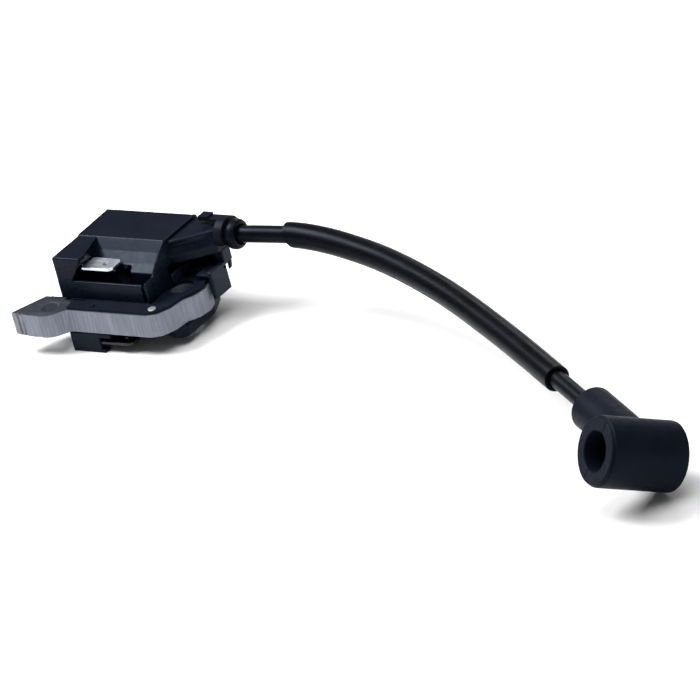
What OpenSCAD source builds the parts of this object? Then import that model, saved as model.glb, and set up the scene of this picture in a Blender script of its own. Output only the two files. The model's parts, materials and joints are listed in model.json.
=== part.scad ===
// Flywheel ignition module of a small two-stroke engine: a laminated core carrying a potted coil
// and its electronics, with a high-tension lead that ends in a right-angle spark plug boot.
// Origin: centre of the first mounting hole, on the underside of the core. +Z runs up the holes,
// +X along the front of the core, +Y towards the flywheel. Millimetres.

/* [Core] */
// Thickness of the stack of core sheets
core_t = 7; // [6.5:0.5:7]
// Diameter of the two mounting holes
hole_d = 5.5; // [5:0.1:6]
// Second mounting hole, along X
hole2_x = 36.4; // [36:0.1:36.8]
// Second mounting hole, along Y
hole2_y = 15.3; // [14.9:0.1:15.7]
// Width of the leg that carries the coil
coil_leg_w = 9; // [8:0.5:9]
// Width of the plain leg
plain_leg_w = 7; // [6:0.5:7]
// How far the legs reach back
leg_y = 41.5; // [40:0.5:44]
// Radius of the flywheel that the pole faces follow
pole_r = 42; // [40:1:50]

/* [Housing] */
// Left end of the housing
house_x0 = 1.4; // [1.2:0.1:2]
// Right end of the housing
house_x1 = 33.2; // [33.1:0.1:33.4]
// Front of the housing
house_y0 = 4.6; // [4.4:0.1:4.8]
// Back of the housing
house_y1 = 34.3; // [34:0.1:35]
// Top of the housing
house_z1 = 21.1; // [21:0.1:22]
// Top of the front lip
lip_z = 13.3; // [13:0.1:13.6]
// Wall thickness of the mouldings
wall = 1.5; // [1.2:0.1:1.6]
// Thickness of the base flange on the core
flange_t = 0.8; // [0.6:0.1:1]
// Depth of the coil case below the core
case_drop = 6.1; // [6:0.1:6.5]

/* [Terminals] */
// Width of a blade terminal
blade_w = 6.3; // [6:0.1:6.3]
// Thickness of a blade terminal
blade_t = 0.8; // [0.5:0.1:1]

/* [Lead] */
// Diameter of the lead's insulation
lead_d = 5; // [4.8:0.1:5]
// Outer diameter of the protective sleeve
sleeve_d = 7.4; // [7:0.1:8]
// Diameter of the grommet's collar
collar_d = 8.9; // [8.5:0.1:9.5]

/* [Boot] */
// Outer diameter of the boot
boot_d = 18.6; // [18:0.1:19]
// Length of the boot's barrel
boot_len = 22.9; // [22.5:0.1:23]
// Diameter of the bore for the spark plug
plug_d = 10.6; // [10:0.1:11]
// Diameter of the boot's elbow
elbow_d = 12.3; // [12:0.1:13]
// Distance from the barrel's axis to the mouth of the elbow
elbow_len = 31.8; // [31:0.1:32]

/* [Hidden] */
$fn = 48;
gap = 0.1;      // clearance between fitted pieces
eps = 0.5;      // how far a cutter runs past a face

// Core
bar_y1 = 8.5;
plain_leg_x = 0.3;
coil_leg_x = 15.5;
coil_x = coil_leg_x + coil_leg_w / 2;
coil_z = core_t / 2;
pole_x = (plain_leg_x + coil_leg_x + coil_leg_w) / 2;
pole_half = (coil_leg_x + coil_leg_w - plain_leg_x) / 2;
pole_y = leg_y + sqrt(pole_r * pole_r - pole_half * pole_half);
rivet_at = [35.6, 1.6];
rivet_d = 1.6;
weld_at = [[-8.4, -4.95], [-6.9, -5.11], [-3.6, 6.14], [36, 22.9]];
weld_r = 0.45;

// Coil case: the window in the flange that it fills, and its outside
case_x0 = 8.7;
case_x1 = 31;
case_y0 = 11.2;
case_y1 = 33;
case_z0 = -case_drop;
house_z0 = core_t + flange_t;
foot_z0 = -3.5;
foot_hole_d = 7.4;  // clear of the screw, below the core and in the flange
end_wall_x = house_x1 - 2;  // the lower end wall, which stands back from the bead

// Coil: half sizes across the leg, [x, z], from the leg outwards
former_in = [coil_leg_w / 2 + gap, core_t / 2 + gap];
former_out = former_in + [0.7, 0.6];
primary_out = former_out + [1.4, 1.1];
second_in = primary_out + [gap, gap];
second_out = second_in + [0.8, 0.7];
winding_out = second_out + [1.7, 1.3];
cheek_out = winding_out + [0.4, 0.3];
coil_y0 = 13.2;
coil_y1 = 31.2;
cheek_t = 0.8;
charge_y1 = 17.6;
trigger_y1 = 20;
slots = 5;

// Lead exit, and the boot's place and attitude
lead_y = 29.8;
lead_z = 17.8;
tower_x1 = 44.5;
collar_x0 = 47.5;
collar_x1 = 50.8;
lead_bore = lead_d + 0.3;
grommet_d = 7;          // outside the tower
spigot_d = 6.2;         // inside it
boot_at = [226.03, -47.77, 5.73];
boot_turn = 238.2;
boot_tilt = 27.5;
elbow_roll = -4;
rim = 15.2;             // from the elbow's axis to the open rim
bore_depth = 19.5;
plug_depth = 11.1;      // the full width of the bore, before the contact's chamber
chamber_d = 9.4;

// The lead's route, from the contact in the housing to the contact in the boot
route = [
    [36, 29.8, 17.8], [41, 29.8, 17.8], [47.5, 29.8, 17.8], [54, 30.3, 17.8], [61, 31.1, 17.7],
    [67, 31.6, 17.6], [73, 31.5, 17.4], [81, 30.3, 17.1], [90, 28.1, 16.7], [100, 25.1, 16.2],
    [110, 21.3, 15.6], [120, 16.9, 14.9], [130, 12.1, 14.1], [140, 6.7, 13.2], [150, 0.9, 12.3],
    [160, -5.1, 11.4], [170, -11.3, 10.5], [180, -17.7, 9.6], [190, -24, 8.6],
    [198, -29.2, 7.8], [206, -34.5, 7.2], [213, -39.1, 6.7], [220, -43.8, 6.2]];
sleeve_from = 5;        // the first of the route's points that the sleeve covers
sleeve_to = 17;         // and the last
sleeve_tail = 4.6;      // how far the sleeve runs past its last point
conductor_from = 1;
tab_z = 16.2;           // underside of the stop terminal

// ---- swept tubes ----
function unit(v) = v / norm(v);
function heading(p, i) = unit(p[min(i + 1, len(p) - 1)] - p[max(i - 1, 0)]);
function ring(p, i, r, sides, axis = [0, 0, 1]) =
    let (t = heading(p, i), side = unit(cross(axis, t)), up = cross(t, side))
    [for (k = [0:sides - 1]) let (a = 360 * (k + 0.5) / sides) p[i] + r * (cos(a) * side + sin(a) * up)];
function skin(first, rings, sides, flip) = [
    for (i = [0:rings - 2], k = [0:sides - 1])
        let (a = first + i * sides + k, b = first + i * sides + (k + 1) % sides)
        flip ? [a, b, b + sides, a + sides] : [a, a + sides, b + sides, b]];

// axis is a direction that the path never runs along
module solid_sweep(p, d, sides, axis = [0, 0, 1]) {
    n = len(p);
    polyhedron(
        points = [for (i = [0:n - 1]) each ring(p, i, d / 2, sides, axis)],
        faces = concat(skin(0, n, sides, false), [[for (k = [0:sides - 1]) k]],
            [[for (k = [sides - 1:-1:0]) (n - 1) * sides + k]]));
}

module hollow_sweep(p, d, bore, sides) {
    n = len(p);
    inner = n * sides;
    last = (n - 1) * sides;
    polyhedron(
        points = concat(
            [for (i = [0:n - 1]) each ring(p, i, d / 2, sides)],
            [for (i = [0:n - 1]) each ring(p, i, bore / 2, sides)]),
        faces = concat(skin(0, n, sides, false), skin(inner, n, sides, true),
            [for (k = [0:sides - 1]) let (j = (k + 1) % sides) [k, j, inner + j, inner + k]],
            [for (k = [0:sides - 1]) let (j = (k + 1) % sides)
                [last + j, last + k, inner + last + k, inner + last + j]]));
}

// ---- shared shapes ----
// A box from corner a to corner b
module block(a, b) {
    translate(a) cube(b - a);
}

// A box with its edges along Z rounded
module round_block(a, b, r) {
    translate([0, 0, a.z]) linear_extrude(b.z - a.z)
        for (x = [a.x + r, b.x - r]) {
            translate([x - r, a.y + r]) square([2 * r, b.y - a.y - 2 * r]);
            for (y = [a.y + r, b.y - r]) translate([x, y]) circle(r);
            translate([a.x + r, a.y]) square([b.x - a.x - 2 * r, b.y - a.y]);
        }
}

// A profile drawn as [y, z], pulled along X
module along_x(x0, x1) {
    translate([x0, 0, 0]) rotate([90, 0, 90]) linear_extrude(x1 - x0) children();
}

module rod_x(x0, x1, y, z, d) {
    translate([x0, y, z]) rotate([0, 90, 0]) cylinder(h = x1 - x0, d = d);
}

// A rectangular ring round the coil leg, from y0 to y1
module coil_ring(outer, inner, y0, y1) {
    difference() {
        block([coil_x - outer.x, y0, coil_z - outer.y], [coil_x + outer.x, y1, coil_z + outer.y]);
        block([coil_x - inner.x, y0 - eps, coil_z - inner.y],
            [coil_x + inner.x, y1 + eps, coil_z + inner.y]);
    }
}

// A spade terminal that lies flat, pointing along +X, with its hole near the tip
module blade(length) {
    tip = 1.2;
    difference() {
        linear_extrude(blade_t) polygon([
            [0, 0], [length - tip, 0], [length, tip], [length, blade_w - tip],
            [length - tip, blade_w], [0, blade_w]]);
        translate([length - 3.9, blade_w / 2, -eps]) cylinder(h = blade_t + 2 * eps, d = 1.7);
    }
}

module boot_frame() {
    translate(boot_at) rotate([0, 0, boot_turn]) rotate([0, -boot_tilt, 0]) rotate([elbow_roll, 0, 0])
        children();
}

// ---- core ----
module core_outline() {
    difference() {
        union() {
            polygon([
                [-10.7, -4.7], [-4.1, -5.6], [1.9, -5.3], [4.8, -3.1], [6.6, -1], [34.6, -1],
                [37.8, 0.4], [40, 4.3], [40.9, 9.3], [43.1, 12.5], [43.9, 16.8], [42.7, 20.4],
                [38.6, 22.9], [33.5, 22.9], [31.5, 20.9], [31.5, 10.5], [29.5, bar_y1],
                [coil_leg_x + coil_leg_w, bar_y1], [coil_leg_x + coil_leg_w, leg_y],
                [coil_leg_x, leg_y], [coil_leg_x, bar_y1], [plain_leg_x + plain_leg_w, bar_y1],
                [plain_leg_x + plain_leg_w, leg_y], [plain_leg_x, leg_y], [plain_leg_x, 6.4],
                [-5.6, 6]]);
            intersection() {
                circle(5.7);
                translate([-6, -6]) square([12, 6]);
            }
        }
        translate([pole_x, pole_y]) circle(pole_r, $fn = 180);
        circle(d = hole_d);
        translate([hole2_x, hole2_y]) circle(d = hole_d);
        translate(rivet_at) circle(d = rivet_d + gap);
        for (w = weld_at) translate(w) circle(weld_r, $fn = 24);
    }
}

module lamination_core() {
    color("slategray") linear_extrude(core_t) core_outline();
}

module core_welds() {
    color("dimgray") for (w = weld_at) translate(concat(w, 0.2))
        cylinder(h = core_t - 0.4, r = weld_r - 0.05, $fn = 24);
}

module ground_rivet() {
    color("silver") translate(concat(rivet_at, 1)) {
        cylinder(h = house_z0 - 1, d = rivet_d);
        translate([0, 0, house_z0 - 1]) cylinder(h = 0.4, d = 2.4);
    }
}

// ---- mouldings ----
module flange_outline() {
    difference() {
        polygon([
            [4.9, -0.5], [34.5, -0.5], [37.4, 0.9], [39.5, 4.6], [40.3, 9.5], [42.4, 12.9], [43.2, 16.7],
            [42.1, 19.9], [38.4, 22.3], [house_x1 + 0.8, 22.3], [house_x1 + 0.8, house_y1],
            [house_x0, house_y1], [house_x0, 5]]);
        circle(6.5);
        translate([hole2_x, hole2_y]) circle(d = foot_hole_d);
        translate(rivet_at) circle(d = rivet_d + gap);
        translate([5.9, 3.5]) square([4.3, 0.6]);
        translate([case_x0 - gap, case_y0 - gap])
            square([case_x1 - case_x0 + 2 * gap, case_y1 - case_y0 + 2 * gap]);
    }
}

module base_flange() {
    color("#1b1d24") {
        translate([0, 0, core_t]) linear_extrude(flange_t) flange_outline();
        translate([14.7, 0.9, house_z0]) cylinder(h = 0.4, d = 2);
    }
}

// Outside of the housing: its back, slope and front pocket
module slope_profile() {
    polygon([
        [house_y0, house_z0], [house_y0, lip_z], [house_y0 + 1.2, lip_z], [house_y0 + 1.2, 9.6],
        [10.2, 9.6], [10.2, 14.2], [12.8, 15.7], [15.6, 18.1], [18.3, house_z1 - 0.3],
        [house_y1 - 0.6, house_z1], [house_y1, house_z1 - 0.6], [house_y1, house_z0]]);
}

// The bead round the right end stands proud of the slope
module bead_profile() {
    polygon([
        [house_y0 - 0.2, house_z0], [house_y0, 13.9], [8.8, 14.2], [11.5, 17.1], [14.8, 19.9],
        [17.2, house_z1 + 0.2], [house_y1 - 0.8, house_z1 + 0.2], [house_y1, house_z1 - 0.6],
        [house_y1, house_z0]]);
}

module housing_cavity() {
    along_x(house_x0 + wall, end_wall_x - wall) polygon([
        [11.7, house_z0 - eps], [11.7, 9.2], [13.4, 9.2], [13.4, 13.4], [14.6, 14.6], [16.9, 16.9],
        [19.2, house_z1 - wall], [house_y1 - wall - 1, house_z1 - wall],
        [house_y1 - wall, house_z1 - wall - 1], [house_y1 - wall, house_z0 - eps]]);
    along_x(house_x0 + wall, 5.4) polygon([
        [house_y0 + wall, house_z0 - eps], [house_y0 + wall, 19], [20, 19], [20, house_z0 - eps]]);
}

// Its right side leans out at the top and closes in towards the back
module housing_left_block() {
    intersection() {
        translate([0, 18.6, 0]) rotate([90, 0, 0]) linear_extrude(18.6 - house_y0) polygon([
            [house_x0, house_z0], [house_x0, 20.6], [12, 20.6], [6.9, lip_z], [6.9, house_z0]]);
        linear_extrude(22) polygon([
            [house_x0, house_y0], [12, house_y0], [8.2, 18.6], [house_x0, 18.6]]);
    }
}

// The hood over the lead's exit, narrowing from the end of the housing
module tower_body() {
    x0 = house_x1 - 0.4;
    intersection() {
        along_x(x0, tower_x1) polygon([
            [17.2, 13.6], [17.2, 17.2], [17.8, 20.4], [19, house_z1], [house_y1 - 0.8, house_z1 + 0.2],
            [house_y1, house_z1 - 0.6], [house_y1, 13.6]]);
        linear_extrude(22) polygon([
            [x0, 17], [house_x1, 17.2], [tower_x1, 25.6], [tower_x1, 35], [x0, 35]]);
    }
}

module lead_tower() {
    difference() {
        tower_body();
        rod_x(house_x1 + 1, tower_x1 + eps, lead_y, lead_z, lead_bore);
        rod_x(38, tower_x1 + eps, lead_y, lead_z, spigot_d + 2 * gap);
    }
}

module upper_housing() {
    arch_x = 21.3;
    color("#171922") {
        difference() {
            union() {
                along_x(house_x0, house_x1 - 0.7) slope_profile();
                along_x(house_x1 - 0.8, house_x1) bead_profile();
                housing_left_block();
            }
            housing_cavity();
            block([house_x1 - 2.1, house_y0 - eps, house_z0 - eps],
                [house_x1 - 0.8, house_y0 + 1.3, lip_z + eps]);
            block([end_wall_x, 15.5, house_z0 - eps], [house_x1 + eps, house_y1 + eps, 13.6]);
            translate([arch_x, 12.4, 13.6]) rotate([90, 0, 0]) cylinder(h = 3, d = 5.6);
            block([8, 8.1 - gap, tab_z - gap], [12, 11 + gap, tab_z + blade_t + gap]);
        }
        translate([arch_x + 0.3, 12.6, 14.6]) rotate([90, 0, 0]) cylinder(h = 1.6, d = 1.2);
        lead_tower();
    }
}

module leg_window() {
    block([coil_leg_x - gap, case_y0 - eps, -gap],
        [coil_leg_x + coil_leg_w + gap, case_y1 + eps, core_t + gap]);
}

module coil_case() {
    color("#1a1c25") {
        difference() {
            round_block([case_x0, case_y0, case_z0], [case_x1, case_y1, house_z0], 1.5);
            block([case_x0 + wall, case_y0 + wall, case_z0 + 1.2],
                [case_x1 - wall, case_y1 - wall, house_z0 + eps]);
            leg_window();
        }
        difference() {
            translate([0, 0, foot_z0]) linear_extrude(-gap - foot_z0) polygon([
                [case_x1 - 0.1, 13], [31.6, 10.4], [32.9, 8.6], [34.6, 7.1], [36.6, 6.2], [38.8, 5.9],
                [40.3, 6.3], [41.3, 7.4], [41.7, 9], [41.7, 18.6], [41.2, 22], [39.6, 25.8], [37.9, 28.6],
                [37, 29.3], [case_x1 - 0.1, 29.3]]);
            translate([hole2_x, hole2_y, foot_z0 - eps]) cylinder(h = 5, d = foot_hole_d);
        }
    }
}

module end_bracket() {
    color("#20222c") difference() {
        union() {
            block([house_x1 + 0.9, 23.1, 1.9], [44.7, 27.2, 9.5]);
            block([43.2, 19.6, 1.9], [44.7, 27.2, 10.3]);
            block([39.2, 19.5, 8.7], [44, 23.2, 9.5]);
            block([house_x1 - 0.3, 15.9, house_z0], [house_x1 + 0.6, 31.2, 11.1]);
            block([house_x1, 23.1, house_z0], [42.8, 31.2, 9.5]);
            block([house_x1, 30.2, 9], [42.8, 31.2, 13.5]);
            block([41, 27.1, 9], [44.4, 31.2, 13.5]);
            translate([0, 31.6, 0]) rotate([90, 0, 0]) linear_extrude(1.2) polygon([
                [41.6, 10.9], [42.6, 10.7], [43.6, 8.2], [43.2, 6.2], [42.4, 5.4], [42.5, 7.6],
                [41.6, 9.2]]);
        }
        translate([40, 26.2, 8.8]) rotate([0, 90, 0]) cylinder(h = 6, d = 0.9);
    }
}

module terminal_bracket() {
    color("#1a1c25") difference() {
        union() {
            block([5.7, -1.3, case_z0], [7.3, 7.4, -gap]);
            block([5.7, -1.3, case_z0], [15.9, 0.3, -gap]);
            block([5.7, 5.9, case_z0], [15.9, 7.4, -gap]);
            block([5.7, -1.3, -1.3], [20, 7.4, -gap]);
            block([14.6, -1.3, case_z0], [17.2, 1.2, -5.2]);
        }
        block([14, -0.9, -3.6], [17.5, 5.6, -2.6]);
    }
}

// ---- terminals ----
module stop_tab() {
    color("silver") {
        translate([9.9, 6.4, tab_z]) blade(10.5);
        block([8, 8.1, tab_z], [9.9, 11, tab_z + blade_t]);
    }
}

module ground_tab() {
    color("silver") translate([7.4, -0.8, -3.5]) blade(19.2);
}

// ---- coil ----
module coil_former() {
    color("ivory") {
        coil_ring(former_out, former_in, coil_y0, coil_y1);
        for (y = [coil_y0, charge_y1, trigger_y1, coil_y1 - cheek_t])
            coil_ring(primary_out, former_in, y, y + cheek_t);
    }
}

module charge_winding() {
    color("#a8581e") coil_ring(primary_out - [0.2, 0.1], former_out, coil_y0 + cheek_t, charge_y1);
}

module trigger_winding() {
    color("#8f3d12") coil_ring(primary_out - [0.5, 0.3], former_out, charge_y1 + cheek_t, trigger_y1);
}

module primary_winding() {
    color("#b8621f")
        coil_ring(primary_out - [0.1, 0.1], former_out, trigger_y1 + cheek_t, coil_y1 - cheek_t);
}

second_y0 = trigger_y1 + cheek_t;
slot_pitch = (coil_y1 - second_y0 - 0.6) / slots;

module secondary_former() {
    color("beige") {
        coil_ring(second_out, second_in, second_y0, coil_y1);
        for (i = [0:slots])
            coil_ring(cheek_out, second_in, second_y0 + i * slot_pitch, second_y0 + i * slot_pitch + 0.6);
    }
}

module secondary_winding() {
    color("#c77a2c") for (i = [0:slots - 1])
        coil_ring(winding_out, second_out,
            second_y0 + i * slot_pitch + 0.6, second_y0 + (i + 1) * slot_pitch);
}

module potting_resin() {
    color("#3a2a1c") difference() {
        block([case_x0 + wall, case_y0 + wall, case_z0 + 1.2],
            [case_x1 - wall, case_y1 - wall, house_z0 + 0.6]);
        block([coil_x - cheek_out.x - gap, case_y0, coil_z - cheek_out.y - gap],
            [coil_x + cheek_out.x + gap, coil_y1 + gap, house_z0 + 1]);
        leg_window();
    }
}

// ---- electronics ----
board_z = 12.5;
board_t = 1;

module circuit_board() {
    color("darkgreen") difference() {
        block([3.6, 14, board_z], [29.5, 32, board_z + board_t]);
        for (x = [6, 27]) translate([x, 30, board_z - eps]) cylinder(h = board_t + 2 * eps, d = 1.6);
    }
}

module capacitor() {
    color("firebrick") round_block([4.5, 20, board_z + board_t], [12.5, 31, board_z + board_t + 5], 0.8);
}

module thyristor() {
    color("#222222") translate([17, 22.5, board_z + board_t]) difference() {
        cylinder(h = 4.5, d = 4.8);
        block([-3, 1.4, -eps], [3, 3, 5]);
    }
}

module diodes() {
    color("#303030") for (y = [26.8, 29.6]) rod_x(15, 19.2, y, board_z + board_t + 1.2, 2.4);
}

module resistor() {
    color("tan") rod_x(21.5, 27.5, 23, board_z + board_t + 1.2, 2.2);
}

// ---- high-tension side ----
module ht_contact() {
    color("goldenrod") {
        rod_x(house_x1 + 1.2, house_x1 + 2.4, lead_y, lead_z, 4.6);
        rod_x(house_x1 + 2.4, 40.4, lead_y, lead_z, 1);
    }
}

module lead_grommet() {
    color("#101114") translate([38, lead_y, lead_z]) rotate([0, 90, 0]) rotate_extrude() polygon([
        [lead_bore / 2, 0], [spigot_d / 2, 0], [spigot_d / 2, tower_x1 - 37.9],
        [grommet_d / 2, tower_x1 - 37.9], [grommet_d / 2, collar_x0 - 38],
        [collar_d / 2 - 0.8, collar_x0 - 38], [collar_d / 2, collar_x0 - 37.2],
        [collar_d / 2, collar_x1 - 38.8], [collar_d / 2 - 0.8, collar_x1 - 38],
        [lead_bore / 2, collar_x1 - 38]]);
}

module lead_clip() {
    clip_x0 = tower_x1 + 0.1;
    color("#24262c") {
        difference() {
            rod_x(clip_x0, collar_x0 - 0.2, lead_y, lead_z, grommet_d + 3.4);
            rod_x(clip_x0 - eps, collar_x0 + eps, lead_y, lead_z, grommet_d + gap);
            block([clip_x0 - eps, lead_y - 8, lead_z - 8], [collar_x0 + eps, lead_y + 8, lead_z - 1.5]);
        }
        block([tower_x1 - 6.3, lead_y - 1.6, lead_z + 4.5], [tower_x1 - 3, lead_y + 1.6, lead_z + 5.8]);
        block([tower_x1 - 4, lead_y - 1.6, lead_z + 4.3], [collar_x0 - 0.2, lead_y + 1.6, lead_z + 5.1]);
    }
}

module lead_insulation() {
    color("#0c0c0e") hollow_sweep(route, lead_d, 1.7, 12);
}

module lead_conductor() {
    color("#b87333") solid_sweep([for (i = [conductor_from:len(route) - 1]) route[i]], 1.4, 8);
}

module lead_sleeve() {
    tail = route[sleeve_to] + sleeve_tail * heading(route, sleeve_to);
    color("#16171b") hollow_sweep(
        concat([for (i = [sleeve_from:sleeve_to]) route[i]], [tail]), sleeve_d, lead_d + 0.4, 12);
}

module boot_barrel() {
    r = boot_d / 2;
    rotate([0, 90, 0]) rotate_extrude($fn = 72) polygon([
        [0, rim - boot_len], [r - 1.2, rim - boot_len], [r, rim - boot_len + 1.2], [r, rim - 0.5],
        [r - 0.5, rim], [0, rim]]);
}

module plug_boot() {
    nose = 2.5;
    color("#15171d") boot_frame() difference() {
        union() {
            boot_barrel();
            rotate([90, 0, 0]) rotate_extrude() polygon([
                [0, 0], [elbow_d / 2, 0], [elbow_d / 2, elbow_len - nose],
                [elbow_d / 2 - 0.7, elbow_len - 0.8], [elbow_d / 2 - 2, elbow_len], [0, elbow_len]]);
        }
        translate([rim - bore_depth, 0, 0]) rotate([0, 90, 0]) cylinder(h = bore_depth, d = chamber_d);
        translate([rim - plug_depth, 0, 0]) rotate([0, 90, 0]) cylinder(h = plug_depth + eps, d = plug_d);
        rotate([90, 0, 0]) cylinder(h = elbow_len + eps, d = lead_bore);
    }
}

// A wound contact in the bottom of the bore, with a leg that runs into the lead
module plug_spring() {
    turns = 3;
    pitch = 1.6;
    wire = 0.9;
    coil_r = 3.6;
    steps = 16;
    start = rim - bore_depth + 1;
    end_x = start + turns * pitch;
    helix = [for (i = [0:turns * steps]) let (a = 160 + 360 * i / steps)
        [start + pitch * i / steps, coil_r * cos(a), coil_r * sin(a)]];
    leg = [[end_x, -3.9, 0.4], [end_x, -4.7, 0], [end_x, -6.6, 0]];
    color("silver") boot_frame() solid_sweep(concat(helix, leg), wire, 8, [1, 0, 0]);
}

lamination_core();
core_welds();
ground_rivet();
base_flange();
upper_housing();
coil_case();
end_bracket();
terminal_bracket();
stop_tab();
ground_tab();
coil_former();
charge_winding();
trigger_winding();
primary_winding();
secondary_former();
secondary_winding();
potting_resin();
circuit_board();
capacitor();
thyristor();
diodes();
resistor();
ht_contact();
lead_grommet();
lead_clip();
lead_insulation();
lead_conductor();
lead_sleeve();
plug_boot();
plug_spring();
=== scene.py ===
import json
import math

import bmesh
import bpy
from mathutils import Matrix, Vector
from mathutils.geometry import tessellate_polygon


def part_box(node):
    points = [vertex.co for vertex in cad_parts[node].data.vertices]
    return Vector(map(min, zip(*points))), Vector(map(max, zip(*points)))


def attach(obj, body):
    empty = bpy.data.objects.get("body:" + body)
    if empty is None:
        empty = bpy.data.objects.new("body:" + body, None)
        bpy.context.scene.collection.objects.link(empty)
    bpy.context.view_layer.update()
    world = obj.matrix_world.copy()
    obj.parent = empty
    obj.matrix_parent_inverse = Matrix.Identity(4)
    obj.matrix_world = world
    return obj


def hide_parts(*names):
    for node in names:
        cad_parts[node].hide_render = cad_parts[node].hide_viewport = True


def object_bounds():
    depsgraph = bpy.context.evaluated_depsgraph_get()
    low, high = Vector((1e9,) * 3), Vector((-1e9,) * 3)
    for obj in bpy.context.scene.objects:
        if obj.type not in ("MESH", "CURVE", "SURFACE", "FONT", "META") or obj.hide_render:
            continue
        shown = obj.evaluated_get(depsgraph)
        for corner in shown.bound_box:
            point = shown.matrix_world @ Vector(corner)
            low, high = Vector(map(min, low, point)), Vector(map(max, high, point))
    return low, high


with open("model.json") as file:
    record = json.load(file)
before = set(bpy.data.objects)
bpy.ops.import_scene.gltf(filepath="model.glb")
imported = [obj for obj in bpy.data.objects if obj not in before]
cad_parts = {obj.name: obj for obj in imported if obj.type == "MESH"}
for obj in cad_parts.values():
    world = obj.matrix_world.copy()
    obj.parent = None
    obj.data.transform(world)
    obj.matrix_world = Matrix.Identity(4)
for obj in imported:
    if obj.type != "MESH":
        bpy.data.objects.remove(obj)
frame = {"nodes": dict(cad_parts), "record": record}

# Shapes are built in millimetres in the row frame, and scaled to metres when they become pieces.
cad_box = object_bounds()
nodes = frame["nodes"]
MM = 0.001
WELD = 0.003             # points closer than this become one


def box_mm(node):
    lo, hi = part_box(node)
    return Vector(lo) / MM, Vector(hi) / MM


# ---- camera ----
VIEW_AZIMUTH = 38.9      # degrees from -Y towards +X
VIEW_ELEVATION = 25.5
VIEW_ROLL = -14.6
VIEW_DISTANCE = 1.5
VIEW_TARGET = Vector((0.0694, 0.0410, -0.0245))
LENS = 270               # mm, on a 36 mm sensor


def make_camera():
    az, el = math.radians(VIEW_AZIMUTH), math.radians(VIEW_ELEVATION)
    back = Vector((math.sin(az) * math.cos(el), -math.cos(az) * math.cos(el), math.sin(el)))
    right = Matrix.Rotation(math.radians(VIEW_ROLL), 3, back) @ Vector((math.cos(az), math.sin(az), 0))
    data = bpy.data.cameras.new("view_camera")
    data.lens = LENS
    data.clip_end = 10
    cam = bpy.data.objects.new("view_camera", data)
    bpy.context.scene.collection.objects.link(cam)
    turn = Matrix((right, back.cross(right), back)).transposed().to_4x4()
    cam.matrix_world = Matrix.Translation(VIEW_TARGET + VIEW_DISTANCE * back) @ turn
    bpy.context.scene.camera = cam


# ---- the lead's route, as in part.scad ----
ROUTE = [
    (36, 29.8, 17.8), (41, 29.8, 17.8), (47.5, 29.8, 17.8), (54, 30.3, 17.8), (61, 31.1, 17.7),
    (67, 31.6, 17.6), (73, 31.5, 17.4), (81, 30.3, 17.1), (90, 28.1, 16.7), (100, 25.1, 16.2),
    (110, 21.3, 15.6), (120, 16.9, 14.9), (130, 12.1, 14.1), (140, 6.7, 13.2), (150, 0.9, 12.3),
    (160, -5.1, 11.4), (170, -11.3, 10.5), (180, -17.7, 9.6), (190, -24, 8.6),
    (198, -29.2, 7.8), (206, -34.5, 7.2), (213, -39.1, 6.7), (220, -43.8, 6.2)]
LEAD_R = 2.5
LEAD_BORE_R = 2.65
LEAD_Y, LEAD_Z = ROUTE[0][1:]
STEPS = 6                # points to each stretch of the route
SLEEVE_FROM, SLEEVE_TO, SLEEVE_TAIL = 5, 17, 4.6
SLEEVE_R, SLEEVE_BORE_R = 3.7, 2.75


def pull(points, i):
    """The direction and strength of the smooth curve at point i."""
    return (points[min(i + 1, len(points) - 1)] - points[max(i - 1, 0)]) / 2


def smooth_path(points):
    """Points along the smooth curve through the given points."""
    out = []
    for i in range(len(points) - 1):
        p, q, u, v = points[i], points[i + 1], pull(points, i), pull(points, i + 1)
        for k in range(STEPS):
            t = k / STEPS
            out.append((2 * t**3 - 3 * t**2 + 1) * p + (t**3 - 2 * t**2 + t) * u
                       + (3 * t**2 - 2 * t**3) * q + (t**3 - t**2) * v)
    return out + [points[-1]]


# ---- mesh tools ----
def skin(name, rings, wrap=False):
    """A closed skin over rings of points. Its ends are capped, or joined to each other."""
    n, m = len(rings[0]), len(rings)
    faces = []
    for i in range(m if wrap else m - 1):
        a, b = i * n, (i + 1) % m * n
        faces += [(a + k, a + (k + 1) % n, b + (k + 1) % n, b + k) for k in range(n)]
    if not wrap:
        faces += [tuple(range(n)), tuple(range((m - 1) * n, m * n))]
    return solid(name, [v for ring in rings for v in ring], faces)


def solid(name, verts, faces):
    mesh = bpy.data.meshes.new(name)
    mesh.from_pydata([tuple(v) for v in verts], [], faces)
    bm = bmesh.new()
    bm.from_mesh(mesh)
    bmesh.ops.recalc_face_normals(bm, faces=bm.faces)
    bm.to_mesh(mesh)
    bm.free()
    obj = bpy.data.objects.new(name, mesh)
    bpy.context.scene.collection.objects.link(obj)
    return obj


def fillet(corners, steps=5):
    """An outline from corners (a, b) or (a, b, radius), with the given corners rounded."""
    out = []
    for i, corner in enumerate(corners):
        p = Vector(corner[:2])
        if len(corner) < 3 or not corner[2]:
            out.append(p)
            continue
        a = Vector(corners[i - 1][:2]) - p
        b = Vector(corners[(i + 1) % len(corners)][:2]) - p
        half = a.angle(b) / 2
        reach = min(corner[2] / math.tan(half), 0.48 * a.length, 0.48 * b.length)
        a.normalize()
        b.normalize()
        radius = reach * math.tan(half)
        centre = p + (a + b).normalized() * (radius / math.sin(half))
        first, last = p + a * reach - centre, p + b * reach - centre
        turn = math.atan2(first.x * last.y - first.y * last.x, first.dot(last))
        for k in range(steps + 1):
            t = turn * k / steps
            out.append(centre + Vector((first.x * math.cos(t) - first.y * math.sin(t),
                                        first.x * math.sin(t) + first.y * math.cos(t))))
    return out


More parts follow.
